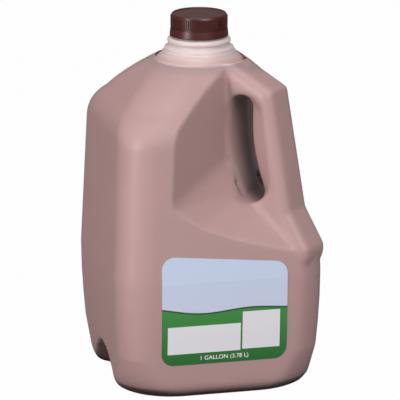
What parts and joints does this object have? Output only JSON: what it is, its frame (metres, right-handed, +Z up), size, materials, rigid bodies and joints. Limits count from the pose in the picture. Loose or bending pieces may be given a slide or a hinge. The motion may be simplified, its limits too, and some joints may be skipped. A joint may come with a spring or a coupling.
{
  "type": "filled plastic milk jug",
  "caption": "Square blow-moulded plastic jug with a corner grip, screw cap and side label, filled with brown milk and standing upright",
  "frame": {"origin": "middle of the base, on the neck's axis", "axes": "+Z up; +X toward the handle corner; the mould's parting plane is Y = 0; the label is on the face turned to +X and -Y"},
  "size_m": [0.1907, 0.1904, 0.2592],
  "materials": {
    "natural_plastic": "milky translucent blow-moulded polyethylene",
    "brown_milk": "opaque brown liquid",
    "brown_plastic": "dark brown moulded polyethylene",
    "printed_film": "printed pressure-sensitive film"
  },
  "bodies": {
    "root": {"bottle": "natural_plastic", "milk": "brown_milk", "cap": "brown_plastic", "label": "printed_film"}
  },
  "joints": []
}
